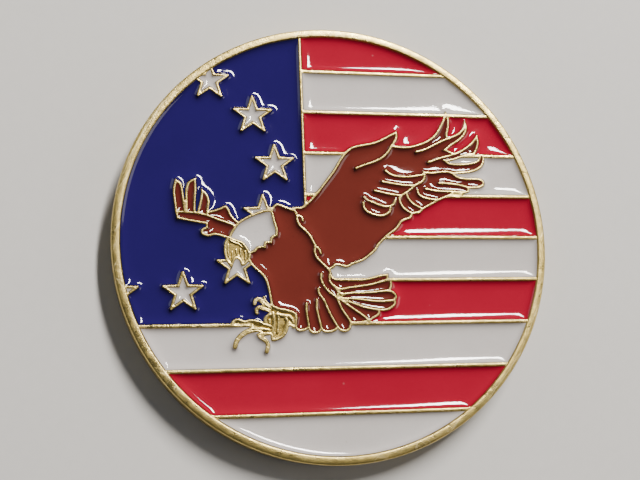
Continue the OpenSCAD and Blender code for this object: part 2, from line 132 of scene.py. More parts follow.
# The edge of a pool: the points round its top face and each point's next one. The pool
# lies on the left of that path, so a hole's path runs the other way.
def poolOutline(node):
    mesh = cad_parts[node].data
    co = np.empty(len(mesh.vertices) * 3)
    mesh.vertices.foreach_get("co", co)
    co = co.reshape(-1, 3) / mm
    tri = np.empty(len(mesh.loops), int)
    mesh.loops.foreach_get("vertex_index", tri)
    tri = tri.reshape(-1, 3)
    top = (co[tri, 2] > co[:, 2].max() - 0.01).all(1)
    flat, index = np.unique(np.round(co[:, :2], 4), axis=0, return_inverse=True)
    tri = index.ravel()[tri[top]]
    tails = tri.ravel()
    heads = np.roll(tri, -1, axis=1).ravel()
    count = len(flat)
    border = ~np.isin(tails * count + heads, heads * count + tails)
    tails, heads = tails[border], heads[border]
    used, place = np.unique(tails, return_inverse=True)
    following = np.empty(len(used), int)
    following[place] = np.searchsorted(used, heads)
    return flat[used], following


# Each point's turn, in degrees, and the steps into it and out of it.
def turnAt(points, following):
    before = np.empty_like(following)
    before[following] = np.arange(len(following))
    into = points - points[before]
    out = points[following] - points
    cross = into[:, 0] * out[:, 1] - into[:, 1] * out[:, 0]
    turn = np.degrees(np.arctan2(cross, (into * out).sum(1)))
    return turn, into, out


# Corner cutting: each soft corner gives way to two points a quarter of the way along
# its sides. Sharp corners stay.
def softenOutline(points, following):
    turn, into, out = turnAt(points, following)
    cut = (np.abs(turn) > outlineLook["softCorner"]) & (np.abs(turn) < outlineLook["sharpCorner"])
    most = outlineLook["cutLength"]
    back = np.minimum(np.linalg.norm(into, axis=1) / 4, most)[:, None]
    ahead = np.minimum(np.linalg.norm(out, axis=1) / 4, most)[:, None]
    copies = np.where(cut, 2, 1)
    last = np.cumsum(copies) - 1
    first = last - copies + 1
    newPoints = np.empty((copies.sum(), 2))
    newPoints[first] = np.where(cut[:, None], points - unit(into) * back, points)
    newPoints[last] = np.where(cut[:, None], points + unit(out) * ahead, points)
    newFollowing = np.empty(len(newPoints), int)
    newFollowing[first] = last
    newFollowing[last] = first[following]
    return newPoints, newFollowing


# Cuts each side of the outline into equal parts no longer than the spacing.
def spaceOutline(points, following):
    out = points[following] - points
    parts = np.maximum(np.ceil(np.linalg.norm(out, axis=1) / outlineLook["spacing"]), 1).astype(int)
    first = np.cumsum(parts) - parts
    owner = np.repeat(np.arange(len(points)), parts)
    step = (np.arange(len(owner)) - first[owner]) / parts[owner]
    newPoints = points[owner] + out[owner] * step[:, None]
    newFollowing = np.arange(len(owner)) + 1
    newFollowing[first + parts - 1] = first[following]
    return newPoints, newFollowing


# A pool's edge, softened and evenly spaced.
def finishedOutline(node):
    points, following = poolOutline(node)
    for cutting in range(outlineLook["rounds"]):
        points, following = softenOutline(points, following)
    return spaceOutline(points, following)


# Sorts points into square tiles of a size. Gives each filled tile's points and corner.
def tilesOf(points, size):
    cell = np.floor(points / size).astype(int)
    unique, owner = np.unique(cell, axis=0, return_inverse=True)
    owner = owner.ravel()
    order = np.argsort(owner, kind="stable")
    parts = np.split(order, np.cumsum(np.bincount(owner, minlength=len(unique)))[:-1])
    return parts, unique * size


# Distance from each point to the nearest of the segments from tails to heads, worked
# out tile by tile against the segments in reach. Nothing is counted beyond the reach.
def distanceTo(points, tails, heads, reach=1.6, tile=1.2):
    low, high = np.minimum(tails, heads) - reach, np.maximum(tails, heads) + reach
    result = np.full(len(points), reach)
    for chosen, corner in zip(*tilesOf(points, tile)):
        near = ((low < corner + tile) & (high > corner)).all(1)
        if not near.any():
            continue
        start, along = tails[near], heads[near] - tails[near]
        length = np.maximum((along ** 2).sum(1), 1e-12)
        gapX = points[chosen, 0, None] - start[:, 0]
        gapY = points[chosen, 1, None] - start[:, 1]
        t = np.clip((gapX * along[:, 0] + gapY * along[:, 1]) / length, 0, 1)
        away = (gapX - t * along[:, 0]) ** 2 + (gapY - t * along[:, 1]) ** 2
        result[chosen] = np.minimum(np.sqrt(away.min(1)), reach)
    return result


# True where a ray from the point to the right crosses the outline an odd number of
# times, worked out strip by strip against the segments that cross the strip.
def insideOf(points, tails, heads, strip=0.25):
    result = np.zeros(len(points), bool)
    low, high = np.minimum(tails[:, 1], heads[:, 1]), np.maximum(tails[:, 1], heads[:, 1])
    across = np.column_stack([np.zeros(len(points)), points[:, 1]])
    for chosen, corner in zip(*tilesOf(across, strip)):
        near = (low < corner[1] + strip) & (high > corner[1])
        start, end = tails[near], heads[near]
        rise = end[:, 1] - start[:, 1]
        slope = (end[:, 0] - start[:, 0]) / np.where(rise == 0, 1, rise)
        x, y = points[chosen, 0, None], points[chosen, 1, None]
        spans = (start[:, 1] > y) != (end[:, 1] > y)
        right = start[:, 0] + (y - start[:, 1]) * slope > x
        result[chosen] = (spans & right).sum(1) % 2 == 1
    return result


# Points inside a region: rows that follow the outline at the distances in rings, on its
# left (side 1) or right (side -1), and beyond them a grid of triangles.
def innerPoints(points, following, side, rings, gridStep, keepFrom):
    into, out = turnAt(points, following)[1:]
    normal = unit(unit(into) + unit(out))[:, ::-1] * (-1, 1) * side
    middle = (points + points[following]) / 2
    edgeNormal = unit(out)[:, ::-1] * (-1, 1) * side
    heads = points[following]
    kept = []
    for number, ring in enumerate(rings):
        near = points + normal * ring if number % 2 == 0 else middle + edgeNormal * ring
        kept.append(near[distanceTo(near, points, heads) > ring * 0.93])
    low, high = points.min(0), points.max(0)
    rowHeight = gridStep * math.sqrt(3) / 2
    y = np.arange(low[1], high[1], rowHeight)
    x = np.arange(low[0], high[0], gridStep)
    gx, gy = np.meshgrid(x, y)
    gx = gx + gridStep / 2 * (np.arange(len(y)) % 2)[:, None]
    grid = np.stack([gx.ravel(), gy.ravel()], 1)
    grid = grid[distanceTo(grid, points, heads) > keepFrom]
    return np.concatenate(kept + [grid])


# Triangles between an outline's points and the extra points. A triangle that has a side
# of the outline belongs if it lies on that side's left. keep tells about the others, from
# their middles.
def triangulate(outer, following, extra, keep):
    points = np.concatenate([outer, extra]) if len(extra) else outer
    edges = np.stack([np.arange(len(outer)), following], 1)
    made = delaunay_2d_cdt(points.tolist(), edges.tolist(), [], 0, 1e-6)
    flat = np.array(made[0])
    tri = np.array(made[2])
    after = np.full(len(flat), -1)
    after[:len(outer)] = following
    turned = np.roll(tri, -1, 1)
    onLeft = (after[tri] == turned).any(1)
    onRight = (after[turned] == tri).any(1)
    tri = tri[onLeft | (keep(flat[tri].mean(1)) & ~onRight)]
    used = np.arange(len(flat)) < len(outer)
    used[tri.ravel()] = True
    return flat[used], (np.cumsum(used) - 1)[tri]


# Quads from the upper row of an outline's points down to the lower row. tails and heads
# give the outline's sides; upper and lower give where each row starts.
def wallFaces(tails, heads, upper, lower):
    return np.stack([upper + tails, lower + tails, lower + heads, upper + heads], 1)


enamelShape = {
    "sink": 0.18,         # how far the middle of a pool lies under the model's flat top
    "climb": 0.36,        # how far the enamel rises at a wall, over its middle
    "reach": 0.34,        # distance in which that rise falls to about a third
    "wave": 0.0016,       # height of the slow unevenness of the surface
    "waveLength": 3.4,
    "rings": (0.04, 0.1, 0.17, 0.25, 0.35, 0.47, 0.62, 0.8, 1.05, 1.4),
    "gridStep": 0.55,
    "gridGap": 0.2,       # from the last ring to the grid
    "sharpEdge": 50,      # degrees
}


# Rise of a liquid that is 1 at its walls, as a share of that. The surface is a
# stretched skin: its curvature at each point equals its rise divided by the square of
# the reach. Solved on the triangles with conjugate gradients.
def liquidRise(points, triangles, fixed, reach):
    count = len(points)
    corner = points[triangles]
    area2 = np.abs(np.cross(corner[:, 1] - corner[:, 0], corner[:, 2] - corner[:, 0]))
    area2 = np.maximum(area2, 1e-7)
    tails, heads, weights = [], [], []
    for k in range(3):
        a, b, c = k, (k + 1) % 3, (k + 2) % 3
        dot = ((corner[:, b] - corner[:, a]) * (corner[:, c] - corner[:, a])).sum(1)
        tails.append(triangles[:, b])
        heads.append(triangles[:, c])
        weights.append(dot / area2 / 2)
    tails, heads, weights = map(np.concatenate, (tails, heads, weights))
    mass = np.bincount(triangles.ravel(), np.repeat(area2 / 6, 3), count) / reach ** 2
    total = np.bincount(tails, weights, count) + np.bincount(heads, weights, count) + mass
    total = np.maximum(total, 1e-9)

    # What the stretched skin pulls at each point.
    def apply(h):
        pull = np.bincount(tails, weights * h[heads], count)
        pull += np.bincount(heads, weights * h[tails], count)
        return total * h - pull

    free = ~fixed
    h = fixed.astype(float)
    residual = np.where(free, -apply(h), 0)
    scaled = residual / total
    step = scaled.copy()
    energy = residual @ scaled
    for attempt in range(400):
        pushed = np.where(free, apply(step), 0)
        share = energy / max(step @ pushed, 1e-30)
        h += share * step
        residual -= share * pushed
        scaled = residual / total
        newEnergy = residual @ scaled
        if newEnergy < 1e-14:
            break
        step = scaled + step * (newEnergy / energy)
        energy = newEnergy
    return h


# Unevenness from -1 to 1: three crossed sine waves of about the length given.
def slowWave(x, y, length):
    k = 2 * math.pi / length
    return (np.sin(k * (0.94 * x + 0.34 * y)) + np.sin(k * 0.83 * (-0.41 * x + 0.91 * y) + 1.3)
            + np.sin(k * 1.31 * (0.62 * x - 0.78 * y) + 4.1)) / 3


# A pool of enamel as a closed solid: its wavy, wall-climbing top, its sides and its
# flat bottom. Height is the flat top's, less the sink, plus climb times the liquid's
# rise, plus the slow wave.
def makePool(node, material):
    outline, following = finishedOutline(node)
    heads = outline[following]
    low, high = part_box(node)
    look = enamelShape
    extra = innerPoints(outline, following, 1, look["rings"], look["gridStep"],
                        look["rings"][-1] + look["gridGap"])

    def inside(middles):
        return insideOf(middles, outline, heads)

    flat, top = triangulate(outline, following, extra, inside)
    under, bottom = triangulate(outline, following, extra[:0], inside)
    count, edge = len(flat), len(outline)
    fixed = np.arange(count) < edge
    rise = liquidRise(flat, top, fixed, look["reach"])
    z = high.z / mm - look["sink"] + look["climb"] * rise
    z += look["wave"] * slowWave(flat[:, 0], flat[:, 1], look["waveLength"]) * (1 - rise)
    points = np.concatenate([np.column_stack([flat, z]),
                             np.column_stack([under, np.full(len(under), low.z / mm)])])
    tails = np.arange(edge)
    walls = wallFaces(tails, following, 0, count)
    # the rise is kept as the "wall" attribute, which the enamel uses for painted shade near the walls
    piece = addMesh(node.replace("enamel_", "") + "_enamel", points,
                    [top, bottom[:, ::-1] + count, walls], material,
                    attributes={"wall": np.concatenate([rise, np.ones(len(under))])})
    sharpenEdges(piece, look["sharpEdge"])
    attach(piece, "root")
    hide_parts(node)
    return outline, following


lineShape = {
    "shoulder": 0.085,    # radius of the rounded edge of a line
    "crown": 0.02,        # how much higher the middle of a line is than its shoulders
    "crownWidth": 0.16,
    "sink": 0.15,         # how far the inside of a bare metal patch lies under its edge
    "sinkFrom": 0.22,
    "sinkTo": 0.42,
    "rings": (0.02, 0.05, 0.085, 0.13, 0.2, 0.3, 0.42),
    "gridStep": 0.22,
    "gridGap": 0.1,
    "rimPoints": 720,     # points round the outside, where the lines meet the rim
    "intoRim": 0.04,      # how far the metal runs into the rim
    "rimGap": 0.03,       # kept clear of points inside that circle
    "intoFloor": 0.02,    # how far it runs into the floor of the recesses
    "sharpEdge": 60,
}


# All the metal between the pools as one closed solid. The height under the tops of the
# lines follows from the distance to the nearest pool: a quarter circle up from the
# wall, a slow crown beyond it, and a dip inside the wide bare patches.
def makeRaisedLines(outlines, material):
    look = lineShape
    shifts = np.cumsum([0] + [len(o) for o, f in outlines])
    pools = np.concatenate([o for o, f in outlines])
    poolNext = np.concatenate([f + s for (o, f), s in zip(outlines, shifts)])
    poolHeads = pools[poolNext]
    ringCount = look["rimPoints"]
    angle = np.arange(ringCount) * 2 * math.pi / ringCount
    ringRadius = faceRadius + look["intoRim"]
    ring = ringRadius * np.stack([np.cos(angle), np.sin(angle)], 1)
    outline = np.concatenate([pools, ring])
    following = np.concatenate([poolNext, len(pools) + (np.arange(ringCount) + 1) % ringCount])
    heads = outline[following]
    extra = innerPoints(pools, poolNext, -1, look["rings"], look["gridStep"],
                        look["rings"][-1] + look["gridGap"])
    extra = extra[np.hypot(extra[:, 0], extra[:, 1]) < ringRadius - look["rimGap"]]
    extra = extra[~insideOf(extra, pools, poolHeads)]

    def inMetal(middles):
        return insideOf(middles, outline, heads)

    # the metal is on the right of the pools' sides, so those are passed turned round
    metalNext = following.copy()
    metalNext[poolNext] = np.arange(len(pools))
    flat, top = triangulate(outline, metalNext, extra, inMetal)
    under, bottom = triangulate(outline, metalNext, extra[:0], inMetal)
    far = distanceTo(flat, pools, poolHeads)
    far[:len(pools)] = 0
    r = look["shoulder"]
    drop = r - np.sqrt(np.maximum(r * r - np.maximum(r - far, 0) ** 2, 0))
    drop += look["crown"] * np.maximum(1 - far / look["crownWidth"], 0) ** 2
    drop += look["sink"] * smoothStep(look["sinkFrom"], look["sinkTo"], far)
    count, edge = len(flat), len(outline)
    z = coin["lineTop"] - drop
    foot = coin["floor"] - look["intoFloor"]
    points = np.concatenate([np.column_stack([flat, z]),
                             np.column_stack([under, np.full(len(under), foot)])])
    # the pools' outlines run round the pools, so their walls are turned over
    poolEdge = np.arange(len(pools))
    ringEdge = np.arange(len(pools), edge)
    walls = np.concatenate([wallFaces(following[poolEdge], poolEdge, 0, count),
                            wallFaces(ringEdge, following[ringEdge], 0, count)])
    # the lines' shoulders count as low, so the gold paints shade on them
    height = np.concatenate([1 - np.clip(drop / r, 0, 1), np.zeros(len(under))])
    piece = addMesh("raised_lines", points, [top, bottom[:, ::-1] + count, walls], material,
                    attributes={"height": height})
    sharpenEdges(piece, look["sharpEdge"])
    return piece


blankShape = {
    "segments": 480,
    "sharpEdge": 50,
    "outerCorner": 0.25,    # radius between a rim and the edge
    "innerShoulder": 0.16,  # radius between the front rim's top and its wall
    "rimCrown": 0.014,      # how far the front rim's top falls from its middle to its sides
    "backShoulder": 0.12,
    "backFillet": 0.1,
    "wallShade": 0.9,       # how much lower the recess walls count than the tops, so the gold paints shade on them
}


# Points on an arc in the plane of radius and height, between two angles.
def arc(centre, radius, start, end, steps=8):
    a = np.radians(np.linspace(start, end, steps))
    return np.stack([centre[0] + radius * np.cos(a), centre[1] + radius * np.sin(a)], 1)


# Points and faces of a closed profile turned about the coin's axis. The profile starts
# and ends on the axis and runs anticlockwise, with the metal on its left.
def revolve(profile, segments):
    a = np.arange(segments) * 2 * math.pi / segments
    ringPart = profile[1:-1]
    r, z = ringPart[:, 0], ringPart[:, 1]
    rings = np.stack([np.cos(a)[:, None] * r, np.sin(a)[:, None] * r,
                      np.broadcast_to(z, (segments, len(z)))], -1).reshape(-1, 3)
    rows = len(ringPart)
    points = np.concatenate([rings, [[0, 0, profile[0, 1]], [0, 0, profile[-1, 1]]]])
    quads = gridFaces(segments, rows, wrap=True)
    here = np.arange(segments) * rows
    there = (np.arange(segments) + 1) % segments * rows
    base, tip = len(rings), len(rings) + 1
    first = np.stack([np.full(segments, base), there, here], 1)
    last = np.stack([np.full(segments, tip), here + rows - 1, there + rows - 1], 1)
    return points, [quads, first, last]


# The struck blank: back field, back rim, edge, front rim and the floor under the
# enamel, as one profile turned about the axis.
def makeBlank(material):
    look = blankShape
    radius, top = coin["radius"], coin["thickness"]
    corner, shoulder = look["outerCorner"], look["innerShoulder"]
    backShoulder, fillet = look["backShoulder"], look["backFillet"]
    field, fieldZ = backFieldRadius, coin["backField"]
    crown = look["rimCrown"]
    inner, outer = faceRadius + shoulder, radius - corner
    share = np.linspace(0, 1, 9)
    rimTop = np.stack([outer + (inner - outer) * share, top - crown * (2 * share - 1) ** 2], 1)
    profile = np.concatenate([
        [[0, fieldZ], [field * 0.5, fieldZ]],
        arc((field - fillet, fieldZ - fillet), fillet, 90, 0),
        arc((field + backShoulder, backShoulder), backShoulder, 180, 270),
        arc((radius - corner, corner), corner, -90, 0),
        arc((radius - corner, top - crown - corner), corner, 0, 90)[:-1],
        rimTop,
        arc((inner, top - crown - shoulder), shoulder, 90, 180)[1:],
        [[faceRadius, coin["floor"]], [faceRadius * 0.5, coin["floor"]], [0, coin["floor"]]],
    ])
    points, faces = revolve(profile, look["segments"])
    # the inside walls of both rims count as low and get the gold's painted shade, everything else as
    # high
    away = np.hypot(points[:, 0], points[:, 1])
    onWall = (np.abs(away - faceRadius) < 0.01) | (np.abs(away - field) < 0.01)
    piece = addMesh("coin_blank", points, faces, material,
                    attributes={"height": 1.0 - look["wallShade"] * onWall})
    sharpenEdges(piece, look["sharpEdge"])
    return piece


# each toe, claw and leg as points along its middle, in the artwork's millimetres, with
# its width at the start and the end
reliefShape = {
    "faceRadius": 21.375, # radius of the face that the points are for
    "base": 2.72,         # where the relief starts, under the tops of the lines
    "height": 0.21,       # how far a strand a millimetre wide stands over that
    "endShare": 0.06,     # how far round its quarter circle a strand's end face lies
    "leastHeight": 0.35,  # share of that height that even the thinnest strand has
    "around": 9,
    "stepsPerPoint": 5,
    "sharpEdge": 75,
    "foot": [
        ([(-6.8, -7), (-7.5, -6.5), (-8, -6.05), (-8.4, -6.12), (-8.5, -6.5)], 0.5, 0.34),
        ([(-6.8, -7.2), (-7.6, -6.95), (-8.1, -6.85), (-8.35, -7.1), (-8.3, -7.4)], 0.46, 0.3),
        ([(-7, -6.8), (-7.4, -6.3), (-7.55, -5.8)], 0.4, 0.18),
        ([(-6.8, -7.4), (-7.3, -7.75), (-7.55, -8.1), (-7.5, -8.45)], 0.42, 0.2),
        ([(-6.75, -7.15), (-6.65, -8), (-6.75, -8.8), (-6.9, -9.7)], 0.5, 0.3),
        ([(-6.3, -7.2), (-6.2, -8), (-6.25, -8.8), (-6.35, -9.5)], 0.42, 0.3),
        ([(-6.6, -7.45), (-5.8, -7.65), (-5.1, -7.75), (-4.8, -8.15), (-4.75, -8.6)], 0.5, 0.42),
        ([(-5.6, -7.8), (-5.35, -8.2), (-5.5, -9), (-5.95, -9.65), (-6.7, -9.93)], 0.44, 0.34),
        ([(-7.1, -7.9), (-7.08, -8.2), (-7.1, -8.55)], 0.4, 0.34),
        ([(-6.8, -8.75), (-7.6, -8.5), (-8.3, -8.25), (-9, -8.15), (-9.6, -8.35)], 0.4, 0.34),
        ([(-9.5, -8.35), (-10.1, -8.05), (-10.6, -8.15), (-10.8, -8.6)], 0.36, 0.18),
        ([(-6.9, -9.15), (-7.8, -8.95), (-8.7, -8.95), (-9.4, -9.2), (-10, -9.65), (-10.35, -10.1),
          (-10.5, -10.6)], 0.46, 0.36),
        ([(-7, -9.35), (-7.7, -9.4), (-8.2, -9.5), (-7.8, -9.85), (-7.4, -10.2), (-7.3, -10.65),
          (-7.45, -11.1)], 0.4, 0.34)],
    "face": [
        ([(-10.95, 0), (-10.4, -0.35), (-9.9, -0.55), (-9.5, -0.95)], 0.3, 0.24),
        ([(-10.95, -0.4), (-11, -1.1), (-10.9, -1.7), (-10.75, -2.3)], 0.34, 0.2),
        ([(-10.6, -1.15), (-10.55, -1.7), (-10.65, -2.1)], 0.28, 0.2),
        ([(-10.2, -0.95), (-10.15, -1.4), (-10.1, -1.85)], 0.3, 0.2),
        ([(-9.75, -0.9), (-9.75, -1.5), (-9.7, -2.2)], 0.32, 0.22),
        ([(-9.35, -1.1), (-9.25, -1.6), (-9.35, -2.25)], 0.34, 0.22)],
}


# Catmull-Rom curve through the knots, as an array of points.
def smoothPath(knots, stepsPerPoint):
    k = np.asarray(knots, float)
    k = np.concatenate([[2 * k[0] - k[1]], k, [2 * k[-1] - k[-2]]])
    t = np.linspace(0, 1, stepsPerPoint, endpoint=False)[None, :, None]
    a, b, c, d = (k[i:len(k) - 3 + i, None] for i in range(4))
    path = 0.5 * (2 * b + (c - a) * t + (2 * a - 5 * b + 4 * c - d) * t ** 2
                  + (3 * b - a - 3 * c + d) * t ** 3)
    return np.concatenate([path.reshape(-1, 2), k[-2:-1]])


# A closed half-round strand: across the path, an angle from 0 to half a turn gives the
# side distance as a cosine and the height as a sine. Both shrink to nothing at the ends
# like a quarter circle, and a flat underside and two small end faces close it.
def strand(knots, startWidth, endWidth, look):
    path = smoothPath(knots, look["stepsPerPoint"])
    tangent = unit(np.gradient(path, axis=0))
    side = np.stack([-tangent[:, 1], tangent[:, 0]], 1)
    length = np.concatenate([[0], np.cumsum(np.linalg.norm(np.diff(path, axis=0), axis=1))])
    half = (startWidth + (endWidth - startWidth) * length / length[-1]) / 2
    toEnd = np.minimum(length, length[-1] - length) / half
    cap = np.sqrt(np.clip(1 - (1 - np.clip(toEnd, look["endShare"], 1)) ** 2, 0, 1))
    angle = np.linspace(0, math.pi, look["around"])
    across = np.cos(angle) * (half * cap)[:, None]
    full = look["height"] * np.clip(half * 2 + look["leastHeight"], 0, 1)
    rise = np.sin(angle) * (full * cap)[:, None]
    flat = path[:, None] + side[:, None] * across[..., None]
    points = np.concatenate([flat, (look["base"] + rise)[..., None]], 2)
    rows, columns = len(path), look["around"]
    faces = gridFaces(rows, columns)[:, ::-1]
    edge = np.arange(rows) * columns
    under = np.stack([edge[:-1], edge[1:], edge[1:] + columns - 1, edge[:-1] + columns - 1], 1)
    k = np.arange(1, columns - 1)
    end = np.stack([0 * k, k, k + 1], 1)
    ends = np.concatenate([end[:, ::-1], end + (rows - 1) * columns])
    return points.reshape(-1, 3), faces, under, ends


# Bare metal relief from half-round strands that overlap.
def makeRelief(name, strands, material):
    look = reliefShape
    scale = faceRadius / look["faceRadius"]
    points, faces, start = [], [], 0
    for knots, startWidth, endWidth in strands:
        p, *sides = strand(np.array(knots) * scale, startWidth, endWidth, look)
        points.append(p)
        faces += [side + start for side in sides]
        start += len(p)
    points = np.concatenate(points)
    # the lower sides of each strand count as low, so the gold paints shade on them
    height = np.clip((points[:, 2] - look["base"]) / look["height"], 0, 1)
    piece = addMesh(name, points, faces, material, attributes={"height": height})
    sharpenEdges(piece, look["sharpEdge"])
    return piece


backShape = {
    "panelRadius": 9.5,
    "panelBorder": 0.45,     # width of the raised ring round the plain panel
    "panelFace": 0.14,       # height of the plain panel over the plane of the back rim
    "borderFace": 0.08,
    "borderSoft": 0.08,      # radius of the border's rounding
    "panelSegments": 240,
    "panelSink": 0.02,       # how far the panel runs into the back field
    "panelSharpEdge": 50,
    "leafCount": 11,         # pairs of leaves on a branch
    "leafLength": 4.2,
    "leafWidth": 1.3,
    "leafRise": 0.2,
    "leafSink": 0.01,        # how far a leaf runs into the back field
    "leafLean": 30,          # degrees from the branch
    "leafGap": 0.3,          # from the branch's middle to a leaf's foot
    "tipWidth": 0.004,       # half the width that is left at a leaf's tip
    "groove": 0.45,          # depth of the middle groove, as a share of the rise
    "grooveWidth": 0.16,     # as a share of half the leaf's width
    "branchTurn": 148,       # degrees that a branch runs round
    "branchFoot": 4,
    "stemWidth": 0.3,
    "stemPoints": 90,
    "along": 13,
    "across": 9,
    "sharpEdge": 60,
}


# The plain panel with its raised border, as one profile turned about the axis and set
# under the back field.
def makePanel(material):
    look = backShape
    outer, face, border = look["panelRadius"], look["panelFace"], look["borderFace"]
    inner, soft = outer - look["panelBorder"], look["borderSoft"]
    top = coin["backField"] + look["panelSink"]
    profile = np.concatenate([
        [[0, face], [inner * 0.5, face], [inner - soft, face]],
        [[inner, border + soft * 0.6]],
        arc((inner + soft, border + soft * 0.5), soft * 0.5, 180, 270, 5),
        arc((outer - soft, border + soft), soft, 270, 360, 6),
        [[outer, top], [outer * 0.5, top], [0, top]],
    ])
    points, faces = revolve(profile, look["panelSegments"])
    # near the back field the panel counts as low, so the gold paints shade there
    height = np.clip((top - points[:, 2]) / (top - border), 0.3, 1)
    piece = addMesh("back_panel", points, faces, material, attributes={"height": height})
    sharpenEdges(piece, look["panelSharpEdge"])
    return piece


# Two branches of paired leaves and their stems. A leaf is a grid of two shares, along
# and across it: its half width is that of two equal arcs, and its height is a round
# arch across it with a groove along the middle, lower towards its ends.
def makeWreath(material):
    look = backShape
    wreathRadius = (look["panelRadius"] + backFieldRadius) / 2
    u = np.linspace(0, 1, look["along"])[:, None]
    v = np.linspace(-1, 1, look["across"])[None, :]
    length, width = look["leafLength"], look["leafWidth"]
    r = (length ** 2 + width ** 2) / (4 * width)
    half = np.sqrt(np.maximum(r * r - (length * (u - 0.5)) ** 2, 0)) - r + width / 2
    half = np.maximum(half, look["tipWidth"])
    arch = np.sqrt(1 - 0.92 * v ** 2) - look["groove"] * np.exp(-(v / look["grooveWidth"]) ** 2)
    leafX = length * u + 0 * v
    leafY = half * v
    leafZ = look["leafRise"] * arch * (0.35 + 0.65 * np.sqrt(np.sin(math.pi * np.clip(u, 0.02, 0.98))))
    leafZ[:, [0, -1]] = 0
    leafZ[[0, -1], :] = 0
    step = look["branchTurn"] / look["leafCount"]
    number = np.arange(1, look["leafCount"] + 1)
    placeAngle = np.radians(step * number - 90)[:, None]
    hand = np.array([-1, 1])[None, :]
    start = wreathRadius + hand * look["leafGap"]
    lean = placeAngle + np.radians(90 - hand * look["leafLean"])
    originX = (start * np.cos(placeAngle)).ravel()[:, None, None]
    originY = (start * np.sin(placeAngle)).ravel()[:, None, None]
    lean = lean.ravel()[:, None, None]
    x = originX + leafX * np.cos(lean) - leafY * np.sin(lean)
    y = originY + leafX * np.sin(lean) + leafY * np.cos(lean)
    sink = look["leafSink"]
    base = coin["backField"] + sink
    z = base - leafZ + 0 * x
    rows, columns = look["along"], look["across"]
    one = gridFaces(rows, columns)
    border = np.concatenate([np.arange(columns), np.arange(1, rows) * columns + columns - 1,
                             (rows - 1) * columns + np.arange(columns - 2, -1, -1),
                             np.arange(rows - 2, 0, -1) * columns])
    count, leaves = rows * columns, x.shape[0]
    points, faces, start = [], [], 0
    for flip in (1, -1):
        p = np.stack([flip * x, y, z], -1).reshape(-1, 3)
        lid = p.reshape(leaves, count, 3)[:, border].copy()
        lid[..., 2] = base + sink
        shift = np.arange(leaves)[:, None, None] * count
        quads = (one[None] + shift).reshape(-1, 4)
        edge = border[None, :, None] + shift
        lidAt = leaves * count + np.arange(leaves)[:, None, None] * len(border) \
            + np.arange(len(border))[None, :, None]
        skirt = np.concatenate([edge, np.roll(edge, -1, 1), np.roll(lidAt, -1, 1), lidAt], 2)
        skirt = skirt.reshape(-1, 4)
        centre = lid.mean(1)
        centreAt = leaves * (count + len(border)) + np.arange(leaves)[:, None, None]
        fan = np.concatenate([lidAt, np.roll(lidAt, -1, 1), np.broadcast_to(centreAt, lidAt.shape)], 2)
        fan = fan.reshape(-1, 3)
        p = np.concatenate([p, lid.reshape(-1, 3), centre])
        if flip == 1:
            quads, skirt, fan = quads[:, ::-1], skirt[:, ::-1], fan[:, ::-1]
        points.append(p)
        faces += [quads + start, skirt + start, fan + start]
        start += len(p)
    stem = dict(reliefShape, base=0, height=look["leafRise"] * 0.8, stepsPerPoint=1)
    foot = look["branchFoot"]
    turn = np.radians(np.linspace(foot, foot + look["branchTurn"], look["stemPoints"]) - 90)
    for flip in (1, -1):
        knots = np.stack([flip * wreathRadius * np.cos(turn), wreathRadius * np.sin(turn)], 1)
        p, *sides = strand(knots, look["stemWidth"], look["stemWidth"] * 0.6, stem)
        p[:, 2] = base - p[:, 2]
        points.append(p)
        faces += [side[:, ::-1] + start for side in sides]
        start += len(p)
    points = np.concatenate(points)
    # the leaves' and stems' edges near the field count as low, so the gold paints shade there
    height = np.clip((base - points[:, 2]) / look["leafRise"] * 1.3, 0, 1)
    piece = addMesh("back_wreath", points, faces, material, attributes={"height": height})
    sharpenEdges(piece, look["sharpEdge"])
    return piece


# Adds a node to a tree. Settings come first, then inputs by name or number, where a
# value may be another node's output socket.
def addNode(tree, kind, inputs=None, **settings):
    made = tree.nodes.new("ShaderNode" + kind)
    for key, value in settings.items():
        setattr(made, key, value)
    for key, value in (inputs or {}).items():
        if isinstance(value, bpy.types.NodeSocket):
            tree.links.new(value, made.inputs[key])
        else:
            made.inputs[key].default_value = value
    return made


def calc(tree, operation, a, b=0.0, c=0.0, clamp=False):
    made = addNode(tree, "Math", {0: a, 1: b, 2: c}, operation=operation, use_clamp=clamp)
    return made.outputs[0]


def mixColours(tree, share, a, b):
    return addNode(tree, "Mix", {0: share, 6: a, 7: b}, data_type="RGBA").outputs[2]


def rangeOf(tree, value, low, high, to=(0.0, 1.0)):
    return addNode(tree, "MapRange", {0: value, 1: low, 2: high, 3: to[0], 4: to[1]}).outputs[0]


def noiseOf(tree, vector, scale, detail=3.0, roughness=0.5):
    return addNode(tree, "TexNoise", {"Vector": vector, "Scale": scale, "Detail": detail,
                                      "Roughness": roughness}).outputs["Fac"]


# Starts a node group: inputs are (name, kind, value) and outputs are (name, kind).
def newGroup(name, inputs, outputs):
    group = bpy.data.node_groups.new(name, "ShaderNodeTree")
    for label, kind, value in inputs:
        socket = group.interface.new_socket(label, in_out="INPUT", socket_type="NodeSocket" + kind)
        if value is not None:
            socket.default_value = value
    for label, kind in outputs:
        group.interface.new_socket(label, in_out="OUTPUT", socket_type="NodeSocket" + kind)
    return group, group.nodes.new("NodeGroupInput").outputs, group.nodes.new("NodeGroupOutput").inputs


def useGroup(tree, group, inputs):
    return addNode(tree, "Group", inputs, node_tree=group).outputs


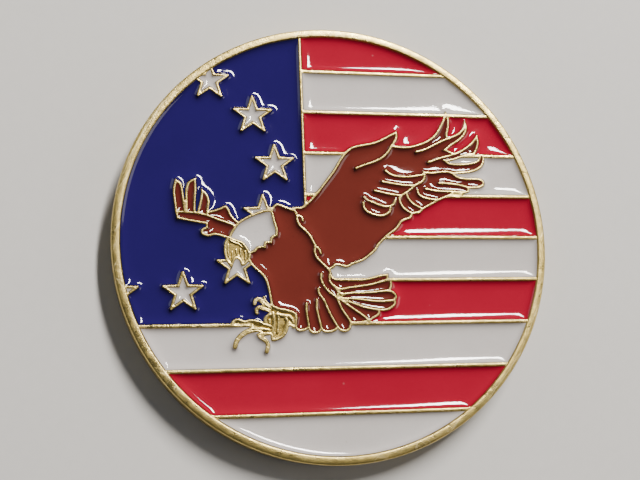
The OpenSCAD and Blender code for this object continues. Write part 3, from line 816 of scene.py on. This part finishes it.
# Fine handling scratches: long thin lines where a stretched noise passes its middle
# value, in three directions, each broken up by a wide noise.
def makeScratchGroup():
    group, given, put = newGroup("fineScratches", [("Vector", "Vector", None), ("Density", "Float", 1.0),
                                                   ("Fineness", "Float", 0.012)], [("Mask", "Float")])
    total = 0.0
    for number, (angle, length) in enumerate([(0.5, 0.07), (-1.1, 0.05), (2.2, 0.1)]):
        turned = addNode(group, "VectorRotate", {"Vector": given["Vector"], "Angle": angle},
                         rotation_type="Z_AXIS").outputs[0]
        drawn = addNode(group, "VectorMath", {0: turned, 1: (length, 1.0, 0.6)},
                        operation="MULTIPLY").outputs[0]
        moved = addNode(group, "VectorMath", {0: drawn, 1: (number * 3.1, number * 7.7, 0.0)},
                        operation="ADD").outputs[0]
        lines = noiseOf(group, moved, 1100.0, 1.0)
        away = calc(group, "ABSOLUTE", calc(group, "SUBTRACT", lines, 0.5))
        thin = rangeOf(group, away, 0.0, given["Fineness"], (1.0, 0.0))
        patch = noiseOf(group, moved, 260.0, 2.0)
        here = rangeOf(group, calc(group, "MULTIPLY", patch, given["Density"]), 0.5, 0.62)
        total = calc(group, "MAXIMUM", total, calc(group, "MULTIPLY", thin, here))
    group.links.new(total, put["Mask"])
    return group


# Grain of struck and plated metal: a fine noise with wider soft dents in it.
def makeGrainGroup():
    group, given, put = newGroup("metalGrain", [("Vector", "Vector", None), ("Grain", "Float", 7000.0),
                                                ("Dents", "Float", 1500.0)], [("Height", "Float")])
    fine = noiseOf(group, given["Vector"], given["Grain"], 3.0)
    wide = noiseOf(group, given["Vector"], given["Dents"], 2.0)
    group.links.new(calc(group, "MULTIPLY_ADD", wide, 1.6, fine), put["Height"])
    return group


# Tarnish and handling film: wide soft clouds, streaked by a finer noise.
def makeFilmGroup():
    group, given, put = newGroup("handlingFilm", [("Vector", "Vector", None), ("Cloud", "Float", 160.0),
                                                  ("Amount", "Float", 1.0)], [("Mask", "Float")])
    cloud = noiseOf(group, given["Vector"], given["Cloud"], 4.0, 0.6)
    fine = noiseOf(group, given["Vector"], 1900.0, 3.0)
    both = calc(group, "MULTIPLY_ADD", fine, 0.4, calc(group, "MULTIPLY", cloud, 0.9))
    share = calc(group, "MULTIPLY", rangeOf(group, both, 0.5, 0.85), given["Amount"], clamp=True)
    group.links.new(share, put["Mask"])
    return group


# Specks of dust and pinholes: round dots, one to a cell, and most of the cells empty.
def makeSpeckGroup():
    group, given, put = newGroup("dustSpecks", [("Vector", "Vector", None), ("Cells", "Float", 700.0),
                                                ("Size", "Float", 0.1), ("Share", "Float", 0.2)],
                                 [("Mask", "Float")])
    cells = addNode(group, "TexVoronoi", {"Vector": given["Vector"], "Scale": given["Cells"]})
    core = calc(group, "MULTIPLY", given["Size"], 0.5)
    dot = rangeOf(group, cells.outputs["Distance"], core, given["Size"], (1.0, 0.0))
    pick = addNode(group, "SeparateColor", {0: cells.outputs["Color"]}).outputs[0]
    chosen = calc(group, "LESS_THAN", pick, given["Share"])
    group.links.new(calc(group, "MULTIPLY", dot, chosen), put["Mask"])
    return group


groups = {"scratches": makeScratchGroup(), "grain": makeGrainGroup(), "film": makeFilmGroup(),
          "specks": makeSpeckGroup()}


def newMaterial(name, seen):
    material = bpy.data.materials.new(name)
    material.use_nodes = True
    material.diffuse_color = (*seen, 1)
    tree = material.node_tree
    place = addNode(tree, "TexCoord").outputs["Object"]
    return material, tree, tree.nodes["Principled BSDF"], place


goldLook = {
    "bright": (0.78, 0.6, 0.2),       # on the rubbed tops and wherever the painted shade and the film leave it
    "deep": (0.22, 0.15, 0.035),      # low down on the sides, as painted shade with some tarnish, and where it has tarnished
    "roughness": (0.3, 0.48),         # rubbed, and under tarnish
    "scratchRoughness": 0.16,
    "scratched": (0.9, 0.8, 0.55),    # where a scratch has bared the brass
    "sideShade": 0.85,                # how far the deep colour comes in low on the sides, as painted shade
    "filmShade": 0.6,                 # and under the film
    "grainMiddle": 1.3,               # the middle value of the grain
    "grainHeight": 0.02,              # mm
    "scratchDepth": 0.006,            # mm
    "speckle": 0.5,                   # how dark the fine specks in the plating are
}


# Satin gold plating. Height above the foot of its wall and the film choose between the rubbed and the
# deep colour:
# low on the walls the deep colour is painted shade with some tarnish in the hollows, and under the film
# it is tarnish; scratches and grain are cut in as a bump.
def makeGold(name, look, filmAmount=1.0, density=1.0):
    material, tree, shader, place = newMaterial(name, look["bright"])
    height = addNode(tree, "Attribute", attribute_name="height").outputs["Fac"]
    film = useGroup(tree, groups["film"], {"Vector": place, "Amount": filmAmount})["Mask"]
    scratches = useGroup(tree, groups["scratches"], {"Vector": place, "Density": density})["Mask"]
    grained = useGroup(tree, groups["grain"], {"Vector": place})["Height"]
    # painted shade: the deep colour comes in low on walls, line shoulders and strand sides, with some
    # tarnish in the hollows
    low = calc(tree, "SUBTRACT", 1.0, rangeOf(tree, height, 0.0, 0.75))
    paintedShadeTarnishSpecks = calc(tree, "MAXIMUM", calc(tree, "MULTIPLY", low, look["sideShade"]),
                calc(tree, "MULTIPLY", film, look["filmShade"]))
    speckled = rangeOf(tree, grained, look["grainMiddle"], look["grainMiddle"] + 0.35)
    speckled = calc(tree, "MULTIPLY", speckled, look["speckle"])
    paintedShadeTarnishSpecks = calc(tree, "MAXIMUM", paintedShadeTarnishSpecks, speckled)
    colour = mixColours(tree, paintedShadeTarnishSpecks, (*look["bright"], 1), (*look["deep"], 1))
    colour = mixColours(tree, calc(tree, "MULTIPLY", scratches, 0.35), colour, (*look["scratched"], 1))
    tree.links.new(colour, shader.inputs["Base Color"])
    rough = rangeOf(tree, paintedShadeTarnishSpecks, 0.0, 1.0, look["roughness"])
    rough = calc(tree, "MULTIPLY_ADD", scratches, look["scratchRoughness"], rough)
    rough = calc(tree, "MULTIPLY_ADD", calc(tree, "SUBTRACT", grained, look["grainMiddle"]), 0.25, rough,
                 clamp=True)
    tree.links.new(rough, shader.inputs["Roughness"])
    shader.inputs["Metallic"].default_value = 1.0
    cut = calc(tree, "MULTIPLY", scratches, -look["scratchDepth"] * mm)
    relief = calc(tree, "MULTIPLY_ADD", grained, look["grainHeight"] * mm, cut)
    bump = addNode(tree, "Bump", {"Height": relief, "Distance": 1.0, "Strength": 1.0})
    tree.links.new(bump.outputs[0], shader.inputs["Normal"])
    return material


enamelLook = {
    "roughness": (0.035, 0.08),       # clean, and under a film of handling
    "mottle": 0.16,                   # how far the colour wanders towards its deeper shade
    "wallShade": 0.75,                # painted shade: how much deeper it looks where it climbs a wall
    "wander": 170.0,                  # how finely it wanders, in clouds to the metre
    "rippleHeight": 0.0016,           # mm
    "speckHeight": 0.002,             # mm
    "speckCells": 650.0,              # to the metre
    "speckSize": 0.09,                # of a cell
    "speckShare": 0.16,               # of the cells
    "colours": {                      # fired colour, then its deeper shade for the mottle and the painted wall shade, then its specks
        "red": ((0.35, 0.006, 0.026), (0.2, 0.002, 0.008), (0.5, 0.16, 0.17)),
        "white": ((0.57, 0.53, 0.505), (0.32, 0.275, 0.24), (0.33, 0.28, 0.22)),
        "blue": ((0.014, 0.006, 0.088), (0.006, 0.003, 0.042), (0.1, 0.09, 0.24)),
        "brown": ((0.13, 0.021, 0.014), (0.06, 0.007, 0.005), (0.27, 0.1, 0.07)),
    },
}


# Glossy filled enamel: its colour wanders slowly, takes painted shade up the walls
# and carries a few specks, and its surface has a slight ripple.
def makeEnamel(name, tint):
    look = enamelLook
    fired, deep, speck = look["colours"][tint]
    material, tree, shader, place = newMaterial(name, fired)
    wall = addNode(tree, "Attribute", attribute_name="wall").outputs["Fac"]
    cloud = noiseOf(tree, place, look["wander"], 4.0, 0.55)
    fine = noiseOf(tree, place, 2600.0, 2.0)
    wandering = rangeOf(tree, calc(tree, "MULTIPLY_ADD", fine, 0.3, cloud), 0.45, 0.85)
    wandering = calc(tree, "MULTIPLY", wandering, look["mottle"])
    # painted shade: the colour deepens where the enamel climbs a wall, and all over in narrow pools
    climbing = calc(tree, "MULTIPLY", calc(tree, "POWER", wall, 2.0), look["wallShade"])
    colour = mixColours(tree, calc(tree, "MAXIMUM", wandering, climbing), (*fired, 1), (*deep, 1))
    specks = useGroup(tree, groups["specks"], {"Vector": place, "Cells": look["speckCells"],
                                               "Size": look["speckSize"],
                                               "Share": look["speckShare"]})["Mask"]
    colour = mixColours(tree, calc(tree, "MULTIPLY", specks, 0.35), colour, (*speck, 1))
    tree.links.new(colour, shader.inputs["Base Color"])
    film = useGroup(tree, groups["film"], {"Vector": place, "Cloud": 110.0})["Mask"]
    scratches = useGroup(tree, groups["scratches"], {"Vector": place, "Density": 0.9,
                                                     "Fineness": 0.006})["Mask"]
    worn = calc(tree, "MAXIMUM", film, calc(tree, "MULTIPLY", scratches, 0.7))
    tree.links.new(rangeOf(tree, worn, 0.0, 1.0, look["roughness"]), shader.inputs["Roughness"])
    ripple = calc(tree, "MULTIPLY", noiseOf(tree, place, 620.0, 2.0), look["rippleHeight"] * mm)
    raised = calc(tree, "MULTIPLY_ADD", specks, look["speckHeight"] * mm, ripple)
    bump = addNode(tree, "Bump", {"Height": raised, "Distance": 1.0, "Strength": 1.0})
    tree.links.new(bump.outputs[0], shader.inputs["Normal"])
    shader.inputs["IOR"].default_value = 1.52
    return material


gold = makeGold("gold_plating", goldLook)
goldStruck = makeGold("gold_struck_relief", goldLook, filmAmount=1.3)
goldBack = makeGold("gold_back", dict(goldLook, speckle=0.3, grainHeight=0.012), density=1.1)
enamels = {tint: makeEnamel("enamel_" + tint, tint) for tint in enamelLook["colours"]}
print("materials made:", len(bpy.data.materials))


# Says that a piece of bare metal is part of the coin.
def finish(piece):
    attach(piece, "root")
    return piece


# Which enamel a pool holds, from its node's name.
def tintOf(node):
    if "canton" in node:
        return "blue"
    if "_red" in node:
        return "red"
    return "white" if "_white" in node or "star" in node or "head" in node else "brown"


outlines = []
for node in sorted(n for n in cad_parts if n.startswith("enamel_")):
    outlines.append(makePool(node, enamels[tintOf(node)]))
print("enamel pools filled:", len(outlines))

lines = finish(makeRaisedLines(outlines, goldStruck))
finish(makeRelief("feet_relief", reliefShape["foot"], goldStruck))
finish(makeRelief("face_relief", reliefShape["face"], goldStruck))
print("raised metal made:", len(lines.data.polygons), "faces in the lines")

blank = finish(makeBlank(gold))
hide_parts("coin_body")
finish(makePanel(goldBack))
finish(makeWreath(goldBack))
print("blank and back made")

stageLook = {
    "floorSize": 8.0,                 # metres
    "floorColour": (0.62, 0.6, 0.57),
    "floorFibre": 0.94,               # how much darker the fibres are
    "floorDrop": 0.02,                # mm under the coin, so that the faces don't flicker
    "floorRoughness": 0.8,
    "worldColour": (0.9, 0.93, 1.0),
    "worldStrength": 0.1,
    # direction from the coin, distance, width, height, power and colour
    "lights": {
        "key_window": ((0.45, 0.84, 1.0), 0.6, 0.055, 0.3, 7.8, (1.0, 0.97, 0.93)),
        "right_fill": ((1.0, -0.1, 0.45), 0.8, 0.4, 0.4, 1.2, (1.0, 0.95, 0.88)),
        "left_fill": ((-0.9, 0.7, 0.45), 0.9, 0.5, 0.5, 0.9, (0.9, 0.95, 1.0)),
    },
}


def makeFloor(look):
    half, z = look["floorSize"] / 2 / mm, -look["floorDrop"]
    points = np.array([[-half, -half, z], [half, -half, z], [half, half, z], [-half, half, z]])
    material, tree, shader, place = newMaterial("pale_floor", look["floorColour"])
    fibre = noiseOf(tree, place, 900.0, 4.0)
    darker = [look["floorFibre"] * c for c in look["floorColour"]]
    colour = mixColours(tree, fibre, (*look["floorColour"], 1), (*darker, 1))
    tree.links.new(colour, shader.inputs["Base Color"])
    shader.inputs["Roughness"].default_value = look["floorRoughness"]
    addMesh("floor", points, [np.array([[0, 1, 2, 3]])], material)


# Area lights aimed at the coin, their widths level with its x axis, and a faint sky.
def makeLights(look):
    for name, (direction, distance, width, height, power, colour) in look["lights"].items():
        light = bpy.data.lights.new(name, "AREA")
        light.shape = "RECTANGLE"
        light.size, light.size_y = width, height
        light.energy, light.color = power, colour
        lamp = bpy.data.objects.new(name, light)
        away = Vector(direction).normalized()
        across = Vector((0, 1, 0)).cross(away).normalized()
        turn = Matrix((across, away.cross(across), away)).transposed()
        lamp.matrix_world = Matrix.Translation(away * distance) @ turn.to_4x4()
        bpy.context.collection.objects.link(lamp)
    world = bpy.data.worlds.new("studio")
    world.use_nodes = True
    background = world.node_tree.nodes["Background"]
    background.inputs["Color"].default_value = (*look["worldColour"], 1)
    background.inputs["Strength"].default_value = look["worldStrength"]
    bpy.context.scene.world = world


cameraLook = {
    "position": (-22.857, -20.149, 101.964),   # mm
    "target": (-1.789, -0.167, 3.0),
    "lens": 58.25,
    "sensor": 36,
    "roll": 2.258,                             # degrees
    "clip": (0.005, 10),                       # metres
}


def makeCamera(look):
    data = bpy.data.cameras.new("camera")
    data.lens, data.sensor_width = look["lens"], look["sensor"]
    data.clip_start, data.clip_end = look["clip"]
    place, target = Vector(look["position"]) * mm, Vector(look["target"]) * mm
    back = (place - target).normalized()
    across = Vector((0, 1, 0)).cross(back).normalized()
    upright = back.cross(across)
    roll = math.radians(look["roll"])
    up = math.cos(roll) * upright + math.sin(roll) * across
    right = math.cos(roll) * across - math.sin(roll) * upright
    camera = bpy.data.objects.new("camera", data)
    turn = Matrix((right, up, back)).transposed()
    camera.matrix_world = Matrix.Translation(place) @ turn.to_4x4()
    bpy.context.collection.objects.link(camera)
    bpy.context.scene.camera = camera


makeFloor(stageLook)
makeLights(stageLook)
makeCamera(cameraLook)
print("floor, lights and camera set")

print("cad box", [tuple(round(v / mm, 3) for v in corner) for corner in cadBox])
